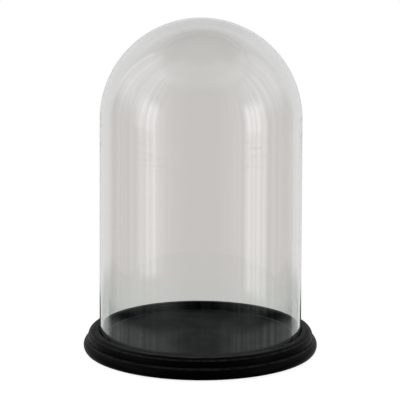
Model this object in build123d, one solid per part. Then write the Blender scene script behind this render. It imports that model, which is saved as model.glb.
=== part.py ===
"""Glass display dome on a turned black wooden base.

Millimetres, +Z up. The origin is on the axis of the dome, at the surface that the
foot pads stand on. Every piece is turned about Z, apart from the screws and pads,
which stand in rings about it.
"""

import os

from build123d import *

# Glass dome: a blown cylinder with a hemispherical top and a ground flat foot
GLASS_HEIGHT = 402.0
GLASS_FOOT_RADIUS = 125.2
GLASS_SHOULDER_RADIUS = 124.8
GLASS_WALL = 3.2
GLASS_FOOT_ARRIS = 0.7

# Plinth: the lower turned disc, with a bull-nose edge and a recess in its top
PLINTH_HEIGHT = 14.1
PLINTH_RADIUS = 145.0
PLINTH_WIDEST_ABOVE_BOTTOM = 6.1
PLINTH_BOTTOM_RADIUS = 142.8
PLINTH_TOP_RADIUS = 138.6
RECESS_DEPTH = 5.0
RECESS_SIDE_GAP = 0.2

# Rim ring: the upper turned ring, rounded over on its outside
RIM_HEIGHT = 11.4
RIM_BORE_RADIUS = 126.2
RIM_RADIUS = 139.3
RIM_ROUND_OVER = 7.6
RIM_BORE_EASING = 0.6
RIM_FOOT_EASING = 1.0

# Display floor: a disc let into the plinth and raised above it, which leaves a groove
# for the glass between itself and the ring
FLOOR_RADIUS = 114.4
FLOOR_BELOW_RIM = 7.0
FLOOR_EASING = 0.8

# Felt washer in the groove, under the foot of the glass
SEAT_THICKNESS = 1.6
SEAT_SIDE_GAP = 0.4

# Felt foot pads
PAD_COUNT = 4
PAD_RADIUS = 12.5
PAD_THICKNESS = 1.6
PAD_CIRCLE_RADIUS = 112.0
PAD_FIRST_ANGLE = 45.0
PAD_EASING = 0.4

# Countersunk wood screws, driven up through the plinth
RIM_SCREW_COUNT = 6
RIM_SCREW_CIRCLE_RADIUS = 132.5
RIM_SCREW_FIRST_ANGLE = 0.0
RIM_SCREW_RADIUS = 1.9
RIM_SCREW_HEAD_RADIUS = 3.8
RIM_SCREW_LENGTH = 20.0
RIM_SCREW_SINK = 0.4

FLOOR_SCREW_COUNT = 4
FLOOR_SCREW_CIRCLE_RADIUS = 62.0
FLOOR_SCREW_FIRST_ANGLE = 0.0
FLOOR_SCREW_RADIUS = 1.7
FLOOR_SCREW_HEAD_RADIUS = 3.4
FLOOR_SCREW_LENGTH = 16.0
FLOOR_SCREW_SINK = 1.0

HEAD_RIM = 0.35
SCREW_POINT_LENGTH = 3.0
SHANK_CLEARANCE = 0.3
DRIVE_WIDTH = 0.95
DRIVE_DEPTH = 1.5
DRIVE_SHARE_OF_HEAD = 0.62

# Heights above the surface that the pads stand on
plinth_bottom = PAD_THICKNESS
plinth_top = plinth_bottom + PLINTH_HEIGHT
recess_floor = plinth_top - RECESS_DEPTH
rim_top = plinth_top + RIM_HEIGHT
floor_top = rim_top - FLOOR_BELOW_RIM
glass_foot = plinth_top + SEAT_THICKNESS
glass_shoulder = glass_foot + GLASS_HEIGHT - GLASS_SHOULDER_RADIUS


def turned(section):
    """The solid that a section, drawn as (radius, height), turns about the Z axis."""
    return revolve(Plane.XZ * section, Axis.Z)


def band(inner, outer, low, high):
    """A rectangular section from radius inner to outer, and from height low to high."""
    low_corner = (Align.MIN, Align.MIN)
    return Pos(inner, low) * Rectangle(outer - inner, high - low, align=low_corner)


def corner(section, radius, height):
    """The corner of a section that is nearest to a place."""
    place = Vector(radius, height)
    return min(section.vertices(), key=lambda vertex: (Vector(vertex) - place).length)


def ring_places(count, radius, height, first_angle):
    """Places spaced evenly round a circle about the Z axis."""
    return [
        Rot(0, 0, first_angle + 360.0 * number / count) * Pos(radius, 0, height)
        for number in range(count)
    ]


def dome_section(radius_foot, radius_shoulder, low):
    """The half outline of a dome from a height up, closed along the axis."""
    shoulder = (radius_shoulder, glass_shoulder)
    apex = (0, glass_shoulder + radius_shoulder)
    outline = Polyline((0, apex[1]), (0, low), (radius_foot, low), shoulder)
    crown = CenterArc((0, glass_shoulder), radius_shoulder, 0, 90)
    return make_face((outline + crown).edges())


def make_glass_dome():
    outside = dome_section(GLASS_FOOT_RADIUS, GLASS_SHOULDER_RADIUS, glass_foot)
    inside = dome_section(
        GLASS_FOOT_RADIUS - GLASS_WALL, GLASS_SHOULDER_RADIUS - GLASS_WALL, glass_foot
    )
    wall = outside - inside
    foot_corners = [
        corner(wall, GLASS_FOOT_RADIUS, glass_foot),
        corner(wall, GLASS_FOOT_RADIUS - GLASS_WALL, glass_foot),
    ]
    return turned(fillet(foot_corners, GLASS_FOOT_ARRIS))


def make_plinth():
    bottom_edge = (PLINTH_BOTTOM_RADIUS, plinth_bottom)
    widest = (PLINTH_RADIUS, plinth_bottom + PLINTH_WIDEST_ABOVE_BOTTOM)
    top_edge = (PLINTH_TOP_RADIUS, plinth_top)
    outline = Polyline(top_edge, (0, plinth_top), (0, plinth_bottom), bottom_edge)
    bull_nose = ThreePointArc(bottom_edge, widest, top_edge)
    section = make_face((outline + bull_nose).edges())
    section -= band(0, FLOOR_RADIUS + RECESS_SIDE_GAP, recess_floor, plinth_top)
    return turned(section)


def make_rim_ring():
    section = band(RIM_BORE_RADIUS, RIM_RADIUS, plinth_top, rim_top)
    section = fillet(corner(section, RIM_RADIUS, rim_top), RIM_ROUND_OVER)
    section = fillet(corner(section, RIM_BORE_RADIUS, rim_top), RIM_BORE_EASING)
    section = fillet(corner(section, RIM_RADIUS, plinth_top), RIM_FOOT_EASING)
    return turned(section)


def make_floor_panel():
    section = band(0, FLOOR_RADIUS, recess_floor, floor_top)
    return turned(fillet(corner(section, FLOOR_RADIUS, floor_top), FLOOR_EASING))


def make_seat_ring():
    inner = FLOOR_RADIUS + SEAT_SIDE_GAP
    outer = RIM_BORE_RADIUS - SEAT_SIDE_GAP
    return turned(band(inner, outer, plinth_top, glass_foot))


def make_foot_pads():
    pad = extrude(Circle(PAD_RADIUS), PAD_THICKNESS)
    pad = fillet(pad.edges().group_by(Axis.Z)[0], PAD_EASING)
    places = ring_places(PAD_COUNT, PAD_CIRCLE_RADIUS, 0, PAD_FIRST_ANGLE)
    return [place * pad for place in places]


def screw_blank(radius, head_radius, length):
    """A countersunk screw with no drive, head down, with the head's face at height 0."""
    cone_top = HEAD_RIM + head_radius - radius
    outline = Polyline(
        (0, 0),
        (head_radius, 0),
        (head_radius, HEAD_RIM),
        (radius, cone_top),
        (radius, length - SCREW_POINT_LENGTH),
        (0, length),
        close=True,
    )
    return turned(make_face(outline.edges()))


def screw_with_drive(blank, head_radius):
    """The screw with a cross-shaped drive cut into its head."""
    arm_length = 2 * head_radius * DRIVE_SHARE_OF_HEAD
    upright = (Align.CENTER, Align.CENTER, Align.MIN)
    arm = Box(arm_length, DRIVE_WIDTH, DRIVE_DEPTH, align=upright)
    return blank - arm - Rot(0, 0, 90) * arm


def sink_hole(head_radius, sink):
    """The hole that lets a screw's head in below the bottom of the plinth."""
    return Pos(0, 0, -sink) * extrude(Circle(head_radius), sink)


def shank_clearance(radius, head_radius, plinth_left):
    """The wider hole round the plain shank, from the countersink through the plinth."""
    cone_top = HEAD_RIM + head_radius - radius
    hole = extrude(Circle(radius + SHANK_CLEARANCE), plinth_left - cone_top)
    return Pos(0, 0, cone_top) * hole


def drive_screws(plinth, held, places, radius, head_radius, length, sink, seam):
    """Drive a set of screws up through the plinth, into the piece that they hold.

    The two pieces meet at the height seam. Gives back the drilled plinth, the drilled
    piece and the screws.
    """
    blank = screw_blank(radius, head_radius, length)
    screw = screw_with_drive(blank, head_radius)
    for place in places:
        plinth -= place * blank
        plinth -= place * sink_hole(head_radius, sink)
        plinth -= place * shank_clearance(
            radius, head_radius, seam - plinth_bottom - sink
        )
        held -= place * blank
    return plinth, held, Compound([place * screw for place in places])


plinth = make_plinth()
plinth, rim_ring, rim_screws = drive_screws(
    plinth,
    make_rim_ring(),
    ring_places(
        RIM_SCREW_COUNT,
        RIM_SCREW_CIRCLE_RADIUS,
        plinth_bottom + RIM_SCREW_SINK,
        RIM_SCREW_FIRST_ANGLE,
    ),
    RIM_SCREW_RADIUS,
    RIM_SCREW_HEAD_RADIUS,
    RIM_SCREW_LENGTH,
    RIM_SCREW_SINK,
    plinth_top,
)
plinth, floor_panel, floor_screws = drive_screws(
    plinth,
    make_floor_panel(),
    ring_places(
        FLOOR_SCREW_COUNT,
        FLOOR_SCREW_CIRCLE_RADIUS,
        plinth_bottom + FLOOR_SCREW_SINK,
        FLOOR_SCREW_FIRST_ANGLE,
    ),
    FLOOR_SCREW_RADIUS,
    FLOOR_SCREW_HEAD_RADIUS,
    FLOOR_SCREW_LENGTH,
    FLOOR_SCREW_SINK,
    recess_floor,
)

nodes = {
    "glass_dome": make_glass_dome(),
    "rim_ring": rim_ring,
    "plinth": plinth,
    "floor_panel": floor_panel,
    "seat_ring": make_seat_ring(),
    "rim_screws": rim_screws,
    "floor_screws": floor_screws,
    "foot_pads": Compound(make_foot_pads()),
}

os.makedirs("parts", exist_ok=True)
for name, shape in nodes.items():
    export_step(shape, f"parts/{name}.step")
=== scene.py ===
# Looks of the glass display dome on its turned black base. Metres, +Z up.
import math

import bpy
from mathutils import Matrix, Vector, noise


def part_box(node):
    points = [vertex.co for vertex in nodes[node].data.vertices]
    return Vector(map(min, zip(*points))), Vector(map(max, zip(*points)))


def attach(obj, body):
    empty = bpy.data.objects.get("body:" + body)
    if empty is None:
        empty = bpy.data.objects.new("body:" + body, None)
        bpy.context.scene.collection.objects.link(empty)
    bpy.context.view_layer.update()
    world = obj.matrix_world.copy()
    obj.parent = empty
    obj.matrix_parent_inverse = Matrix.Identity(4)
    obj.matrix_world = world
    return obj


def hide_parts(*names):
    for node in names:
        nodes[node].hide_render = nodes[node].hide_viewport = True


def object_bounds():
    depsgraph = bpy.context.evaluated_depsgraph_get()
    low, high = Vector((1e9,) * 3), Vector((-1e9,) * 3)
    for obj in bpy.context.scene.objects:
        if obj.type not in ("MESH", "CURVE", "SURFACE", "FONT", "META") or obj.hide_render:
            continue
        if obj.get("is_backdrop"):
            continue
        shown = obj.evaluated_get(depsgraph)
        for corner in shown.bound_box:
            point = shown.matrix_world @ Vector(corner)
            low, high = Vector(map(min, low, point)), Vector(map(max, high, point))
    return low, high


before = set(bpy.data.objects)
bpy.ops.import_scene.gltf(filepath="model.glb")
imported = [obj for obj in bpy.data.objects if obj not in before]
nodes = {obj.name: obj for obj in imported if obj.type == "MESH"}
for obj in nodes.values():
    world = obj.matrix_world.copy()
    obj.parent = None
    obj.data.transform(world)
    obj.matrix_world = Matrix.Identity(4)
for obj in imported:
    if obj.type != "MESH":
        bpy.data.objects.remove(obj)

cad_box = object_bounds()

# Camera: a long lens, looking slightly down
CAMERA_DISTANCE = 6.172
CAMERA_LENS = 450.0
CAMERA_ELEVATION = math.radians(14.24)
CAMERA_ROLL = math.radians(0.22)
CAMERA_AIM = Vector((-0.0010, 0.0, 0.1918))

# Stage: a pale round floor that fades into a plain bright surround
FLOOR_RADIUS = 0.40
FLOOR_FADE_START = 0.20
FLOOR_FADE_END = 0.38
FLOOR_DROP = 0.0002
FLOOR_SIDES = 96

# Glass: the turned profile, taken from the dome's box
GLASS_WALL = 0.0032
GLASS_TAPER = 0.0004
GLASS_ARRIS = 0.0007
GLASS_SEGMENTS = 320
GLASS_CROWN_STEPS = 96
GLASS_SIDE_STEPS = 48
GLASS_ARRIS_STEPS = 4
GLASS_WAVE = 0.00003
GLASS_WAVE_SIZE = 0.055
GLASS_TINT = (0.970, 0.972, 0.970, 1.0)
# At the foot: the glass's own green, and a darker tint that is painted shade of the board
# near the table
GLASS_FOOT_GREEN_AND_SHADE = (0.918, 0.968, 0.954, 1.0)
GLASS_CROWN_TINT = (0.949, 0.969, 0.968, 1.0)
GLASS_FOOT_HEIGHTS = (0.04, 0.13)
GLASS_CROWN_HEIGHTS = (0.27, 0.33)
GLASS_RIPPLE_HEIGHTS = (0.262, 0.300)

# Felt: how far its cut edges are rounded and its faces stray
FELT_EDGE = 0.0003
FELT_EDGE_STEPS = 4
FELT_UNEVEN = 0.00008
FELT_UNEVEN_SIZE = 0.004
FELT_FUZZ_SIZE = 0.0008
FELT_BROAD = 0.7
FELT_FINE = 0.3
NOISE_OFFSETS = ((0.0, 0.0, 0.0), (31.4, 11.7, 5.3), (7.9, 47.2, 23.6))
SEAT_SIDE_GAP = 0.0004
SEAT_PRESSED = 0.00012
SEAT_SEGMENTS = 480
SEAT_TOP_STEPS = 8
PAD_RADIUS = 0.0125
PAD_SEGMENTS = 128
PAD_FACE_STEPS = 12


# ---------------------------------------------------------------- node helpers


def new_material(name):
    """A material with an empty node tree."""
    material = bpy.data.materials.new(name)
    material.use_nodes = True
    material.node_tree.nodes.clear()
    return material


def add(tree, kind, **settings):
    """A node with its settings."""
    node = tree.nodes.new(kind)
    for name, value in settings.items():
        setattr(node, name, value)
    return node


def feed(tree, socket, value):
    """Sets a socket to a number or colour, or links it to another node's socket."""
    if isinstance(value, bpy.types.NodeSocket):
        tree.links.new(value, socket)
    else:
        socket.default_value = value


def maths(tree, operation, first, second=0.0, third=0.0):
    node = add(tree, "ShaderNodeMath", operation=operation)
    for socket, value in zip(node.inputs, (first, second, third)):
        feed(tree, socket, value)
    return node.outputs[0]


def smooth_step(tree, value, low, high, out_low=0.0, out_high=1.0):
    """A smooth ramp from out_low to out_high as value goes from low to high."""
    node = add(tree, "ShaderNodeMapRange", interpolation_type="SMOOTHSTEP")
    for name, number in (
        ("Value", value),
        ("From Min", low),
        ("From Max", high),
        ("To Min", out_low),
        ("To Max", out_high),
    ):
        feed(tree, node.inputs[name], number)
    return node.outputs[0]


def blend_colours(tree, share, first, second):
    node = add(tree, "ShaderNodeMix", data_type="RGBA")
    feed(tree, node.inputs["Factor"], share)
    feed(tree, node.inputs["A"], first)
    feed(tree, node.inputs["B"], second)
    return node.outputs["Result"]


def object_place(tree, scale=(1.0, 1.0, 1.0)):
    """The place on the object, in metres, stretched by scale."""
    place = add(tree, "ShaderNodeTexCoord").outputs["Object"]
    mapping = add(tree, "ShaderNodeMapping")
    feed(tree, mapping.inputs["Vector"], place)
    mapping.inputs["Scale"].default_value = scale
    return mapping.outputs["Vector"]


def parts_of(tree, vector):
    """The X, Y and Z of a vector."""
    split = add(tree, "ShaderNodeSeparateXYZ")
    feed(tree, split.inputs[0], vector)
    return split.outputs


def length_of(tree, vector):
    node = add(tree, "ShaderNodeVectorMath", operation="LENGTH")
    feed(tree, node.inputs[0], vector)
    return node.outputs["Value"]


def height_on_object(tree):
    return parts_of(tree, object_place(tree))["Z"]


def radius_on_object(tree):
    return length_of(tree, object_place(tree, (1.0, 1.0, 0.0)))


def noise_at(tree, place, scale, detail=4.0, roughness=0.5):
    node = add(tree, "ShaderNodeTexNoise")
    feed(tree, node.inputs["Vector"], place)
    node.inputs["Scale"].default_value = scale
    node.inputs["Detail"].default_value = detail
    node.inputs["Roughness"].default_value = roughness
    return node.outputs["Fac"]


def bump(tree, height, strength, distance, normal=None):
    node = add(tree, "ShaderNodeBump")
    feed(tree, node.inputs["Height"], height)
    node.inputs["Strength"].default_value = strength
    node.inputs["Distance"].default_value = distance
    if normal is not None:
        feed(tree, node.inputs["Normal"], normal)
    return node.outputs["Normal"]


def mix_shaders(tree, share, first, second):
    node = add(tree, "ShaderNodeMixShader")
    feed(tree, node.inputs[0], share)
    feed(tree, node.inputs[1], first)
    feed(tree, node.inputs[2], second)
    return node.outputs[0]


def finish_material(tree, shader):
    output = add(tree, "ShaderNodeOutputMaterial")
    feed(tree, output.inputs["Surface"], shader)


# ---------------------------------------------------------------- camera


def make_camera():
    data = bpy.data.cameras.new("camera")
    data.lens = CAMERA_LENS
    data.sensor_width = 36.0
    data.clip_start = 0.1
    data.clip_end = 50.0
    camera = bpy.data.objects.new("camera", data)
    bpy.context.scene.collection.objects.link(camera)
    back = Vector((0.0, -math.cos(CAMERA_ELEVATION), math.sin(CAMERA_ELEVATION)))
    turn = (-back).to_track_quat("-Z", "Y").to_matrix().to_4x4()
    roll = Matrix.Rotation(CAMERA_ROLL, 4, "Z")
    place = Matrix.Translation(CAMERA_AIM + back * CAMERA_DISTANCE)
    camera.matrix_world = place @ turn @ roll
    bpy.context.scene.camera = camera


# ---------------------------------------------------------------- stage and light

# What is seen through the glass: a plain warm grey board all round
BOARD = (0.708, 0.668, 0.648, 1.0)
PAPER_WHITE = (1.0, 1.0, 1.0, 1.0)

# What glass and gloss mirror, as shares of paper white. Azimuth 0 is towards the
# camera and positive to its right; height is above the horizon. Degrees.
ROOM_FRONT = 0.03
ROOM_RIGHT = 0.36
ROOM_LEFT = 0.44
ROOM_FRONT_HALF_WIDTH = (12.0, 50.0)
ROOM_UPPER = 0.40
ROOM_UPPER_HEIGHTS = (-4.0, 14.0)
ROOM_UPPER_TURN = (45.0, 95.0)
CEILING = 0.15
CEILING_HEIGHTS = (50.0, 64.0)
CORNICE = 0.26
CORNICE_HEIGHTS = (46.5, 48.0)
CORNICE_TURN = (105.0, 145.0)
CORNICE_EDGE = 1.2
CORNICE_SOFT = 6.0
BACK_WALL = 0.78
BACK_WALL_MIDDLE = 0.62
BACK_WALL_TURN = (127.0, 132.0)
BACK_WALL_MIDDLE_TURN = (150.0, 172.0)
BACK_WALL_MIDDLE_HEIGHTS = (2.0, 18.0)
TABLE = 0.80
TABLE_HEIGHTS = (-15.62, -15.45)
TABLE_EDGE = 0.10
TABLE_EDGE_HEIGHTS = (-15.45, -15.25)
# Each window: its brightness, then (from, to, softness before, softness after) for
# azimuth and for height. The lamp above the camera is given the same way.
WINDOWS = (
    (1.25, (-64.0, -55.0, 16.0, 16.0), (-14.95, 12.0, 0.16, 16.0)),
    (1.35, (56.0, 76.0, 7.0, 6.0), (-15.16, 12.0, 0.14, 14.0)),
    (0.70, (-76.0, -60.0, 10.0, 10.0), (0.0, 14.0, 8.0, 16.0)),
    (0.75, (57.0, 70.0, 8.0, 10.0), (-3.0, 12.0, 7.0, 16.0)),
    (0.60, (-118.0, -72.0, 20.0, 24.0), (22.0, 44.0, 18.0, 14.0)),
    (0.45, (72.0, 112.0, 22.0, 22.0), (22.0, 38.0, 18.0, 10.0)),
)
WINDOW_FOLDS = 2.2
NEARER_SIDE = 2.5  # faces of glass passed: fewer than this from the nearer side
LAMP = (0.38, (-70.0, 70.0, 30.0, 30.0), (52.0, 72.0, 9.0, 9.0))
FOLDS = 0.16
FOLDS_PER_DEGREE = 0.17
FOLDS_DETAIL = 3.0
FOLDS_RANGE = (0.35, 0.65)
FRONT_FOLDS = 0.15

# The floor, as the camera sees it, as it lights the object and as gloss mirrors it
FLOOR_SEEN = (0.88, 0.88, 0.88, 1.0)
FLOOR_BOUNCE = (0.35, 0.35, 0.35, 1.0)
FLOOR_MIRRORED = (0.03, 0.03, 0.03, 1.0)

# The shaded strip of floor behind the object, and not beneath it: how far back it
# starts, in metres, how much wider it gets per metre further back, the radius at which
# it starts to fade, and how soft its edge is where it meets the object
SHADE_START = (0.0, 0.05)
SHADE_SPREAD = (0.16, 0.28)
SHADE_LEAST_DISTANCE = 0.01
SHADE_FADE_START = 0.24
SHADE_EDGE = 0.005


def direction_parts(tree):
    """The azimuth and the height, in degrees, that a ray of light comes from."""
    x, y, z = parts_of(tree, add(tree, "ShaderNodeTexCoord").outputs["Generated"])
    azimuth = maths(tree, "ARCTAN2", x, maths(tree, "MULTIPLY", y, -1.0))
    azimuth = maths(tree, "DEGREES", azimuth)
    height = maths(tree, "DEGREES", maths(tree, "ARCSINE", z))
    return azimuth, height


def between(tree, value, low, high, soft_low, soft_high):
    """1 where value lies between low and high, with soft ends outside them."""
    above = smooth_step(tree, value, low - soft_low, low)
    below = smooth_step(tree, value, high, high + soft_high, 1.0, 0.0)
    return maths(tree, "MULTIPLY", above, below)


def blend_values(tree, share, first, second):
    node = add(tree, "ShaderNodeMix", data_type="FLOAT")
    feed(tree, node.inputs["Factor"], share)
    feed(tree, node.inputs["A"], first)
    feed(tree, node.inputs["B"], second)
    return node.outputs["Result"]


def ray_kinds(tree):
    """1 for a ray straight from the camera, and 1 for a ray that has only passed
    through glass."""
    path = add(tree, "ShaderNodeLightPath")
    turned = maths(
        tree, "ADD", path.outputs["Glossy Depth"], path.outputs["Diffuse Depth"]
    )
    through = maths(tree, "LESS_THAN", turned, 0.5)
    return path.outputs["Is Camera Ray"], through


def patch(tree, azimuth, height, azimuths, heights):
    """1 on a soft-edged patch of the studio's wall."""
    across = between(tree, azimuth, *azimuths)
    return maths(tree, "MULTIPLY", across, between(tree, height, *heights))


def folds(tree, azimuth):
    """Upright folds, as of a curtain: a shade up or down at each azimuth."""
    cloth = add(tree, "ShaderNodeTexNoise", noise_dimensions="1D")
    feed(tree, cloth.inputs["W"], azimuth)
    cloth.inputs["Scale"].default_value = FOLDS_PER_DEGREE
    cloth.inputs["Detail"].default_value = FOLDS_DETAIL
    return smooth_step(tree, cloth.outputs["Fac"], *FOLDS_RANGE, -FOLDS, FOLDS)


def walls(tree, azimuth, height, shade):
    """The side walls: dark towards the camera, lighter to the sides and higher up."""
    turn = maths(tree, "ABSOLUTE", azimuth)
    to_right = maths(tree, "GREATER_THAN", azimuth, 0.0)
    side = blend_values(tree, to_right, ROOM_LEFT, ROOM_RIGHT)
    sideways = smooth_step(tree, turn, *ROOM_FRONT_HALF_WIDTH)
    light = blend_values(tree, sideways, ROOM_FRONT, side)
    drawn = maths(tree, "MAXIMUM", sideways, FRONT_FOLDS)
    light = maths(tree, "MULTIPLY_ADD", shade, drawn, light)
    upper = smooth_step(tree, height, *ROOM_UPPER_HEIGHTS, 0.0, ROOM_UPPER)
    aside = smooth_step(tree, turn, *ROOM_UPPER_TURN)
    return maths(tree, "MULTIPLY_ADD", upper, aside, light)


def windows(tree, azimuth, height, shade):
    """Soft windows behind thin curtains. Only the nearer side of the glass mirrors
    them, so light that has come through it and back counts for nothing here."""
    path = add(tree, "ShaderNodeLightPath")
    passed = path.outputs["Transmission Depth"]
    once = maths(tree, "LESS_THAN", passed, NEARER_SIDE)
    light = 0.0
    for strength, azimuths, heights in WINDOWS:
        window = patch(tree, azimuth, height, azimuths, heights)
        light = maths(tree, "MULTIPLY_ADD", window, strength, light)
    drawn = maths(tree, "MULTIPLY_ADD", shade, WINDOW_FOLDS, 1.0)
    return maths(tree, "MULTIPLY", maths(tree, "MULTIPLY", light, drawn), once)


def back_wall(tree, height, turn):
    """The brightness of the wall behind the object: a little less in its middle."""
    middle = smooth_step(tree, turn, *BACK_WALL_MIDDLE_TURN)
    raised = smooth_step(tree, height, *BACK_WALL_MIDDLE_HEIGHTS)
    share = maths(tree, "MULTIPLY", middle, raised)
    return blend_values(tree, share, BACK_WALL, BACK_WALL_MIDDLE)


def studio_light(tree):
    """The studio round the object: side walls, soft windows, a bright wall behind with
    a thin darker cornice, a dim ceiling, a table below, and a lamp above the camera."""
    azimuth, height = direction_parts(tree)
    turn = maths(tree, "ABSOLUTE", azimuth)
    shade = folds(tree, azimuth)
    light = walls(tree, azimuth, height, shade)
    light = maths(tree, "ADD", light, windows(tree, azimuth, height, shade))
    behind = smooth_step(tree, turn, *BACK_WALL_TURN)
    light = blend_values(tree, behind, light, back_wall(tree, height, turn))

    on_cornice = between(tree, height, *CORNICE_HEIGHTS, CORNICE_EDGE, CORNICE_EDGE)
    along_cornice = smooth_step(tree, turn, *CORNICE_TURN)
    on_cornice = maths(tree, "MULTIPLY", on_cornice, along_cornice)
    light = blend_values(tree, on_cornice, light, CORNICE)
    above = smooth_step(tree, height, *CEILING_HEIGHTS)
    cornice_top = CORNICE_HEIGHTS[1]
    above_cornice = smooth_step(tree, height, cornice_top, cornice_top + CORNICE_SOFT)
    above_cornice = maths(tree, "MULTIPLY", above_cornice, along_cornice)
    above = maths(tree, "MAXIMUM", above, above_cornice)
    light = blend_values(tree, above, light, CEILING)

    share = smooth_step(tree, height, *TABLE_HEIGHTS, TABLE, TABLE_EDGE)
    past_edge = smooth_step(tree, height, *TABLE_EDGE_HEIGHTS)
    share = blend_values(tree, past_edge, share, 1.0)
    light = maths(tree, "MULTIPLY", light, maths(tree, "MAXIMUM", share, behind))

    strength, azimuths, heights = LAMP
    lamp = patch(tree, azimuth, height, azimuths, heights)
    return maths(tree, "MULTIPLY_ADD", lamp, strength, light)


def make_world():
    world = bpy.data.worlds.new("studio")
    bpy.context.scene.world = world
    world.use_nodes = True
    tree = world.node_tree
    tree.nodes.clear()
    from_camera, through_glass = ray_kinds(tree)
    light = blend_colours(tree, through_glass, studio_light(tree), BOARD)
    light = blend_colours(tree, from_camera, light, PAPER_WHITE)
    background = add(tree, "ShaderNodeBackground")
    feed(tree, background.inputs["Color"], light)
    output = add(tree, "ShaderNodeOutputWorld")
    feed(tree, output.inputs["Surface"], background.outputs[0])


def in_shade(tree, place):
    """1 on the part of the floor that lies straight behind the object."""
    x, y, _ = parts_of(tree, place)
    aside = maths(tree, "SUBTRACT", maths(tree, "ABSOLUTE", x), cad_box[1].x)
    back = maths(tree, "MAXIMUM", y, SHADE_LEAST_DISTANCE)
    spread = maths(tree, "DIVIDE", aside, back)
    straight = smooth_step(tree, spread, *SHADE_SPREAD, 1.0, 0.0)
    return maths(tree, "MULTIPLY", straight, smooth_step(tree, y, *SHADE_START))


def make_floor():
    """A pale round floor that fades into the surround and can't be seen from beneath.
    Through the glass it looks as the board does, so that its edge doesn't show there.
    Gloss mirrors it only behind the object, where it is in the shade."""
    mesh = bpy.data.meshes.new("floor")
    height = cad_box[0].z - FLOOR_DROP
    last = 360 - 360 / FLOOR_SIDES
    rim = arc(0.0, 0.0, FLOOR_RADIUS, 0, last, FLOOR_SIDES - 1)
    mesh.from_pydata([(x, y, height) for x, y in rim], [], [range(FLOOR_SIDES)])
    floor = bpy.data.objects.new("floor", mesh)
    bpy.context.scene.collection.objects.link(floor)
    floor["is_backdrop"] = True
    material = new_material("pale_floor")
    tree = material.node_tree
    place = add(tree, "ShaderNodeTexCoord").outputs["Object"]
    radius = length_of(tree, place)
    solid = smooth_step(tree, radius, FLOOR_FADE_START, FLOOR_FADE_END, 1.0, 0.0)
    shade = between(
        tree,
        radius,
        cad_box[1].x + SHADE_EDGE,
        SHADE_FADE_START,
        SHADE_EDGE,
        FLOOR_RADIUS - SHADE_FADE_START,
    )
    shade = maths(tree, "MULTIPLY", shade, in_shade(tree, place))
    from_camera, through_glass = ray_kinds(tree)
    solid = blend_values(tree, through_glass, shade, solid)
    under = add(tree, "ShaderNodeNewGeometry").outputs["Backfacing"]
    solid = maths(tree, "MULTIPLY", solid, maths(tree, "SUBTRACT", 1.0, under))
    glow = add(tree, "ShaderNodeEmission")
    colour = blend_colours(tree, from_camera, BOARD, FLOOR_SEEN)
    colour = blend_colours(tree, through_glass, FLOOR_MIRRORED, colour)
    feed(tree, glow.inputs["Color"], colour)
    matt = add(tree, "ShaderNodeBsdfDiffuse")
    matt.inputs["Color"].default_value = FLOOR_BOUNCE
    lit = add(tree, "ShaderNodeAddShader")
    feed(tree, lit.inputs[0], glow.outputs[0])
    feed(tree, lit.inputs[1], matt.outputs[0])
    seen = mix_shaders(tree, from_camera, glow.outputs[0], lit.outputs[0])
    clear = add(tree, "ShaderNodeBsdfTransparent")
    finish_material(tree, mix_shaders(tree, solid, clear.outputs[0], seen))
    mesh.materials.append(material)


# ---------------------------------------------------------------- materials

# Colours are linear; pairs are the darkest and the lightest. Sizes are in noise cells
# per metre, bump depths in metres.
MIDDLE_OF_NOISE = (0.3, 0.7)

GLASS_IOR = 1.5
GLASS_SHADOW = (0.90, 0.905, 0.90, 1.0)
GLASS_BUMP_DEPTH = 0.001
DRAW_LINES_SIZE = (70.0, 70.0, 1.2)
DRAW_LINES_BUMP = 0.025
RIPPLE_SIZE = (24.0, 24.0, 260.0)
RIPPLE_SOFT = 0.012
RIPPLE_BUMP = 0.12

RIM_BLACKS = ((0.0008, 0.0008, 0.0009, 1.0), (0.0016, 0.0016, 0.0018, 1.0))
PLINTH_BLACKS = ((0.0006, 0.0006, 0.0007, 1.0), (0.0012, 0.0012, 0.0014, 1.0))
FLOOR_BLACKS = ((0.0014, 0.0014, 0.0015, 1.0), (0.0026, 0.0026, 0.0028, 1.0))
EDGE_ROUGHNESS = 0.40
EDGE_SHINE = 0.026
PANEL_ROUGHNESS = 0.44
PANEL_SHINE = 0.0275
ROUGHNESS_SPREAD = 0.03
MOTTLE_SIZE = 28.0
SMEAR_SIZE = 45.0
PEEL_SIZE = 900.0
PEEL_BUMP = 0.08
PEEL_DEPTH = 0.00006
SCUFF_SIZE = 160.0
SCUFF_RANGE = (0.2, 0.7)
# The colour of the painted highlight on the lacquer's edges, broken up like wear
HIGHLIGHT_WEAR_GREY = (0.022, 0.022, 0.023, 1.0)

# Where each piece gets a painted highlight with wear, in metres below its top or inside
# its edge, and how softly
RIM_HIGHLIGHT_WEAR = (0.0030, 0.0020, 0.0008)
PLINTH_HIGHLIGHT_WEAR = (0.0014, 0.0, 0.0010)
PANEL_HIGHLIGHT_WEAR = (0.0016, 0.0, 0.0004)

STAINS = ((0.010, 0.009, 0.008, 1.0), (0.040, 0.034, 0.029, 1.0))
STAIN_ABOVE_BOTTOM = 0.0001
STAIN_SOFT = 0.0004
GRAIN_SIZE = (9.0, 240.0, 9.0)
LATHE_RINGS = 700.0
LATHE_BUMP = 0.5
LATHE_DEPTH = 0.0002

WASHER_BLACKS = ((0.008, 0.008, 0.008, 1.0), (0.03, 0.03, 0.03, 1.0))
PAD_GREYS = ((0.09, 0.088, 0.085, 1.0), (0.2, 0.195, 0.19, 1.0))
FIBRE_SIZE = 1500.0
FIBRE_BUMP = 0.6
FIBRE_DEPTH = 0.0003
CLUMP_SIZE = 260.0
FELT_ROUGHNESS = (0.85, 1.0)
FELT_SHEEN = 0.25
FELT_SHINE = 0.1

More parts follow.
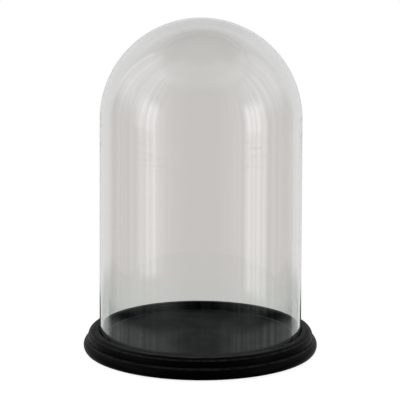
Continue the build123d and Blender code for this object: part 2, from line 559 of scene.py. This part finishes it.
ZINCS = ((0.50, 0.50, 0.48, 1.0), (0.68, 0.69, 0.70, 1.0))
BLOOM_SIZE = 420.0
ZINC_ROUGHNESS = (0.22, 0.42)
SCRATCH_SIZE = (300.0, 2600.0, 300.0)
SCRATCH_BUMP = 0.25
SCRATCH_DEPTH = 0.00005


def glass_material():
    """Clear soda glass, faintly green, greener and darker towards its foot, the darkening
    there being painted shade; with the faint draw lines of blown glass and faint ripples
    round its shoulder."""
    material = new_material("clear_blown_glass")
    tree = material.node_tree
    glass = add(tree, "ShaderNodeBsdfPrincipled")
    height = height_on_object(tree)
    # Towards the foot: the glass's own green plus painted shade, darker there
    above_foot = smooth_step(tree, height, *GLASS_FOOT_HEIGHTS)
    tint = blend_colours(tree, above_foot, GLASS_FOOT_GREEN_AND_SHADE, GLASS_TINT)
    in_crown = smooth_step(tree, height, *GLASS_CROWN_HEIGHTS)
    tint = blend_colours(tree, in_crown, tint, GLASS_CROWN_TINT)
    feed(tree, glass.inputs["Base Color"], tint)
    glass.inputs["Transmission Weight"].default_value = 1.0
    glass.inputs["Roughness"].default_value = 0.0
    glass.inputs["IOR"].default_value = GLASS_IOR

    draw_lines = noise_at(tree, object_place(tree, DRAW_LINES_SIZE), 1.0, 1.0)
    draw_lines = blend_values(tree, in_crown, draw_lines, 0.5)
    normal = bump(tree, draw_lines, DRAW_LINES_BUMP, GLASS_BUMP_DEPTH)
    ripples = noise_at(tree, object_place(tree, RIPPLE_SIZE), 1.0, 2.0)
    ripples = maths(tree, "SUBTRACT", ripples, 0.5)
    near_shoulder = between(
        tree, height, *GLASS_RIPPLE_HEIGHTS, RIPPLE_SOFT, RIPPLE_SOFT
    )
    ripples = maths(tree, "MULTIPLY", ripples, near_shoulder)
    normal = bump(tree, ripples, RIPPLE_BUMP, GLASS_BUMP_DEPTH, normal)
    feed(tree, glass.inputs["Normal"], normal)

    shadow = add(tree, "ShaderNodeLightPath").outputs["Is Shadow Ray"]
    clear = add(tree, "ShaderNodeBsdfTransparent")
    clear.inputs["Color"].default_value = GLASS_SHADOW
    shader = mix_shaders(tree, shadow, glass.outputs[0], clear.outputs[0])
    finish_material(tree, shader)
    return material


def underside(tree, colour, normal, height):
    """Where the piece's underside is, below height, one thin coat of stain instead of
    lacquer, with the grain of the wood and the rings of the lathe tool in it."""
    below = smooth_step(
        tree, height_on_object(tree), height, height + STAIN_SOFT, 1.0, 0.0
    )
    grain = noise_at(tree, object_place(tree, GRAIN_SIZE), 1.0, 6.0, 0.65)
    stain = blend_colours(tree, smooth_step(tree, grain, *MIDDLE_OF_NOISE), *STAINS)
    rings = add(tree, "ShaderNodeTexNoise", noise_dimensions="1D")
    feed(tree, rings.inputs["W"], radius_on_object(tree))
    rings.inputs["Scale"].default_value = LATHE_RINGS
    marks = maths(tree, "MULTIPLY", rings.outputs["Fac"], below)
    return (
        blend_colours(tree, below, colour, stain),
        bump(tree, marks, LATHE_BUMP, LATHE_DEPTH, normal),
    )


def lacquer_material(name, blacks, roughness, shine, highlight_and_wear, stained_below=None):
    """Satin black lacquer over turned wood, faintly mottled, and made lighter by a painted
    highlight with wear where the given socket maker gives more than 0. Stained instead
    below a height, if given."""
    material = new_material(name)
    tree = material.node_tree
    paint = add(tree, "ShaderNodeBsdfPrincipled")
    mottle = noise_at(tree, object_place(tree), MOTTLE_SIZE, 5.0, 0.6)
    colour = blend_colours(tree, mottle, *blacks)
    scuffs = noise_at(tree, object_place(tree), SCUFF_SIZE, 4.0, 0.6)
    scuffs = smooth_step(tree, scuffs, *SCUFF_RANGE)
    # Painted highlight: lighter lacquer in the bands where highlights fall, broken up by
    # scuffs like wear
    highlight_and_wear_share = maths(tree, "MULTIPLY", highlight_and_wear(tree), scuffs)
    colour = blend_colours(tree, highlight_and_wear_share, colour, HIGHLIGHT_WEAR_GREY)
    peel = noise_at(tree, object_place(tree), PEEL_SIZE, 2.0)
    normal = bump(tree, peel, PEEL_BUMP, PEEL_DEPTH)
    if stained_below is not None:
        colour, normal = underside(tree, colour, normal, stained_below)
    feed(tree, paint.inputs["Base Color"], colour)
    feed(tree, paint.inputs["Normal"], normal)
    smears = noise_at(tree, object_place(tree), SMEAR_SIZE, 3.0, 0.5)
    smoothest = roughness - ROUGHNESS_SPREAD
    roughest = roughness + ROUGHNESS_SPREAD
    varied = smooth_step(tree, smears, *MIDDLE_OF_NOISE, smoothest, roughest)
    feed(tree, paint.inputs["Roughness"], varied)
    paint.inputs["Specular IOR Level"].default_value = shine
    finish_material(tree, paint.outputs[0])
    return material


def highlight_and_wear_band(top, lowest, highest, soft):
    """A painted highlight with wear in a band round the piece, from lowest to highest
    below its top.
    """

    def highlight_and_wear(tree):
        height = height_on_object(tree)
        return between(tree, height, top - lowest, top - highest, soft, soft)

    return highlight_and_wear


def highlight_and_wear_ring(edge, inmost, outmost, soft):
    """A painted highlight with wear in a ring on the top of the piece, from inmost to
    outmost within its edge."""

    def highlight_and_wear(tree):
        radius = radius_on_object(tree)
        return between(tree, radius, edge - inmost, edge - outmost, soft, soft)

    return highlight_and_wear


def felt_material(name, shades):
    """Pressed felt: matted fibres, with a soft sheen."""
    material = new_material(name)
    tree = material.node_tree
    felt = add(tree, "ShaderNodeBsdfPrincipled")
    fibres = noise_at(tree, object_place(tree), FIBRE_SIZE, 6.0, 0.7)
    feed(tree, felt.inputs["Base Color"], blend_colours(tree, fibres, *shades))
    clumps = noise_at(tree, object_place(tree), CLUMP_SIZE, 3.0, 0.6)
    roughness = smooth_step(tree, clumps, *MIDDLE_OF_NOISE, *FELT_ROUGHNESS)
    feed(tree, felt.inputs["Roughness"], roughness)
    felt.inputs["Sheen Weight"].default_value = FELT_SHEEN
    felt.inputs["Specular IOR Level"].default_value = FELT_SHINE
    feed(tree, felt.inputs["Normal"], bump(tree, fibres, FIBRE_BUMP, FIBRE_DEPTH))
    finish_material(tree, felt.outputs[0])
    return material


def zinc_material():
    """Bright zinc plate with fine scratches."""
    material = new_material("zinc_plate")
    tree = material.node_tree
    steel = add(tree, "ShaderNodeBsdfPrincipled")
    bloom = noise_at(tree, object_place(tree), BLOOM_SIZE, 4.0, 0.6)
    feed(tree, steel.inputs["Base Color"], blend_colours(tree, bloom, *ZINCS))
    steel.inputs["Metallic"].default_value = 1.0
    roughness = smooth_step(tree, bloom, *MIDDLE_OF_NOISE, *ZINC_ROUGHNESS)
    feed(tree, steel.inputs["Roughness"], roughness)
    scratches = noise_at(tree, object_place(tree, SCRATCH_SIZE), 1.0, 2.0)
    normal = bump(tree, scratches, SCRATCH_BUMP, SCRATCH_DEPTH)
    feed(tree, steel.inputs["Normal"], normal)
    finish_material(tree, steel.outputs[0])
    return material


# ---------------------------------------------------------------- shapes


def lathe(name, profile, segments, wobble=None):
    """A closed mesh turned about Z from a closed outline of (radius, height) points.
    A point of radius 0 is a pole."""
    vertices = []
    rings = []
    for radius, height in profile:
        if radius == 0.0:
            pole = Vector((0.0, 0.0, height))
            rings.append([len(vertices)])
            vertices.append(pole if wobble is None else wobble(pole))
            continue
        rings.append(list(range(len(vertices), len(vertices) + segments)))
        for step in range(segments):
            angle = math.tau * step / segments
            point = Vector((radius * math.cos(angle), radius * math.sin(angle), height))
            if wobble is not None:
                point = wobble(point)
            vertices.append(point)
    faces = []
    for first, second in zip(rings, rings[1:] + rings[:1]):
        if len(first) == 1 and len(second) == 1:
            continue
        for step in range(segments):
            after = (step + 1) % segments
            if len(first) == 1:
                faces.append((first[0], second[after], second[step]))
            elif len(second) == 1:
                faces.append((first[step], first[after], second[0]))
            else:
                faces.append((first[step], first[after], second[after], second[step]))
    mesh = bpy.data.meshes.new(name)
    mesh.from_pydata(vertices, [], faces)
    mesh.validate()
    mesh.update()
    mesh.shade_smooth()
    piece = bpy.data.objects.new(name, mesh)
    bpy.context.scene.collection.objects.link(piece)
    return piece


def arc(middle_radius, middle_height, radius, start, end, steps):
    """Points along an arc in the (radius, height) plane, angles in degrees."""
    points = []
    for step in range(steps + 1):
        angle = math.radians(start + (end - start) * step / steps)
        across = middle_radius + radius * math.cos(angle)
        points.append((across, middle_height + radius * math.sin(angle)))
    return points


def make_glass():
    """The glass dome: outside from the foot up to the apex, inside down again."""
    low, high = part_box("glass_dome")
    foot_radius = (high.x - low.x) / 2 - 2 * GLASS_WAVE
    shoulder_radius = foot_radius - GLASS_TAPER
    shoulder = high.z - shoulder_radius - 2 * GLASS_WAVE
    inner_foot = foot_radius - GLASS_WALL
    inner_shoulder = shoulder_radius - GLASS_WALL

    def side(bottom, top, bottom_height):
        return [
            (
                bottom + (top - bottom) * step / GLASS_SIDE_STEPS,
                bottom_height + (shoulder - bottom_height) * step / GLASS_SIDE_STEPS,
            )
            for step in range(1, GLASS_SIDE_STEPS)
        ]

    arris_height = low.z + GLASS_ARRIS
    profile = arc(
        foot_radius - GLASS_ARRIS, arris_height, GLASS_ARRIS, -90, 0, GLASS_ARRIS_STEPS
    )
    profile += side(foot_radius, shoulder_radius, arris_height)
    outer_crown = arc(0.0, shoulder, shoulder_radius, 0, 90, GLASS_CROWN_STEPS)
    profile += outer_crown[:-1] + [(0.0, outer_crown[-1][1])]
    inner_crown = arc(0.0, shoulder, inner_shoulder, 90, 0, GLASS_CROWN_STEPS)
    profile += [(0.0, inner_crown[0][1])] + inner_crown[1:]
    profile += side(inner_foot, inner_shoulder, arris_height)[::-1]
    profile += arc(
        inner_foot + GLASS_ARRIS, arris_height, GLASS_ARRIS, 180, 270, GLASS_ARRIS_STEPS
    )

    def wobble(point):
        wave = noise.noise(point / GLASS_WAVE_SIZE) * GLASS_WAVE
        outward = Vector((point.x, point.y, max(0.0, point.z - shoulder))).normalized()
        return point + outward * wave

    piece = lathe("blown_glass_dome", profile, GLASS_SEGMENTS, wobble)
    piece.data.materials.append(glass_material())
    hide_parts("glass_dome")
    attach(piece, "dome")


def make_seat_felt():
    """The felt washer in the groove: its die-cut edges are soft and a little uneven,
    and it is pressed down under the foot of the glass."""
    low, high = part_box("seat_ring")
    outer = high.x - FELT_UNEVEN
    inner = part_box("floor_panel")[1].x + SEAT_SIDE_GAP + FELT_UNEVEN
    foot_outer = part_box("glass_dome")[1].x
    foot_inner = foot_outer - GLASS_WALL
    low_z = low.z + FELT_UNEVEN
    high_z = high.z - FELT_UNEVEN
    edge = FELT_EDGE
    top = [
        (foot_outer, high_z - SEAT_PRESSED),
        (foot_inner, high_z - SEAT_PRESSED),
        (foot_inner - edge, high_z),
    ]
    profile = arc(outer - edge, low_z + edge, edge, -90, 0, FELT_EDGE_STEPS)
    pressed_edge = high_z - edge - SEAT_PRESSED
    profile += arc(outer - edge, pressed_edge, edge, 0, 60, FELT_EDGE_STEPS)
    profile += top
    top_start = inner + edge
    top_width = foot_inner - 3 * edge - inner
    profile += [
        (top_start + top_width * (1 - step / SEAT_TOP_STEPS), high_z)
        for step in range(SEAT_TOP_STEPS)
    ]
    profile += arc(inner + edge, high_z - edge, edge, 90, 180, FELT_EDGE_STEPS)
    profile += arc(inner + edge, low_z + edge, edge, 180, 270, FELT_EDGE_STEPS)
    washer = lathe("felt_washer", profile, SEAT_SEGMENTS, felt_wobble)
    washer.data.materials.append(felt_material("black_felt", WASHER_BLACKS))
    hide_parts("seat_ring")
    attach(washer, "base")


def three_noises(place):
    """A noise for each axis. Blender's own noise_vector changes from run to run."""
    return Vector([noise.noise(place + Vector(offset)) for offset in NOISE_OFFSETS])


def felt_wobble(point):
    """Moves a point of a felt piece by a little, so that its faces are uneven."""
    shift = three_noises(point / FELT_UNEVEN_SIZE)
    fuzz = three_noises(point / FELT_FUZZ_SIZE)
    return point + shift * FELT_UNEVEN * FELT_BROAD + fuzz * FELT_UNEVEN * FELT_FINE


def make_pad_felts():
    """The four round felt pads: flat against the plinth, softly rounded where they are
    cut, and a little worn down at the edge that slides on the table."""
    low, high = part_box("foot_pads")
    felt = felt_material("grey_felt", PAD_GREYS)
    outer = PAD_RADIUS - FELT_UNEVEN
    low_z = low.z + FELT_UNEVEN
    edge = FELT_EDGE
    flat = [outer * step / PAD_FACE_STEPS for step in range(1, PAD_FACE_STEPS)]
    profile = [(0.0, low_z)] + [(radius, low_z) for radius in flat]
    profile += arc(outer - edge, low_z + edge, edge, -90, 0, FELT_EDGE_STEPS)
    profile += [(outer, high.z - FELT_UNEVEN - edge / 2)]
    profile += [(radius, high.z - FELT_UNEVEN) for radius in flat[::-1]]
    profile += [(0.0, high.z - FELT_UNEVEN)]
    middle = high.x - PAD_RADIUS
    corners = ((1, 1), (-1, 1), (-1, -1), (1, -1))
    for number, (x, y) in enumerate(corners, start=1):
        centre = Vector((x * middle, y * middle, 0.0))
        pad = lathe(
            f"felt_pad_{number}",
            profile,
            PAD_SEGMENTS,
            lambda point: felt_wobble(point + centre),
        )
        pad.data.materials.append(felt)
        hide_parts("foot_pads")
        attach(pad, "base")


def give(node, material):
    """Puts a material on a CAD node."""
    slots = nodes[node].data.materials
    if slots:
        slots[0] = material
    else:
        slots.append(material)


# ---------------------------------------------------------------- the scene

bpy.context.scene.view_settings.view_transform = "Standard"
make_camera()
make_world()
make_floor()
make_glass()
make_seat_felt()
make_pad_felts()

# Painted highlights, broken up like wear, on the edges of the rim, plinth and floor panel
rim_highlight_and_wear = highlight_and_wear_band(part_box("rim_ring")[1].z, *RIM_HIGHLIGHT_WEAR)
rim_paint = lacquer_material(
    "satin_black_rim", RIM_BLACKS, EDGE_ROUGHNESS, EDGE_SHINE, rim_highlight_and_wear
)
give("rim_ring", rim_paint)
plinth_low, plinth_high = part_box("plinth")
plinth_highlight_and_wear = highlight_and_wear_band(plinth_high.z, *PLINTH_HIGHLIGHT_WEAR)
plinth_paint = lacquer_material(
    "satin_black_plinth",
    PLINTH_BLACKS,
    EDGE_ROUGHNESS,
    EDGE_SHINE,
    plinth_highlight_and_wear,
    stained_below=plinth_low.z + STAIN_ABOVE_BOTTOM,
)
give("plinth", plinth_paint)
panel_highlight_and_wear = highlight_and_wear_ring(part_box("floor_panel")[1].x, *PANEL_HIGHLIGHT_WEAR)
panel_paint = lacquer_material(
    "satin_black_floor", FLOOR_BLACKS, PANEL_ROUGHNESS, PANEL_SHINE, panel_highlight_and_wear
)
give("floor_panel", panel_paint)
zinc = zinc_material()
give("rim_screws", zinc)
give("floor_screws", zinc)

[[list(corner) for corner in box] for box in (cad_box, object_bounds())]
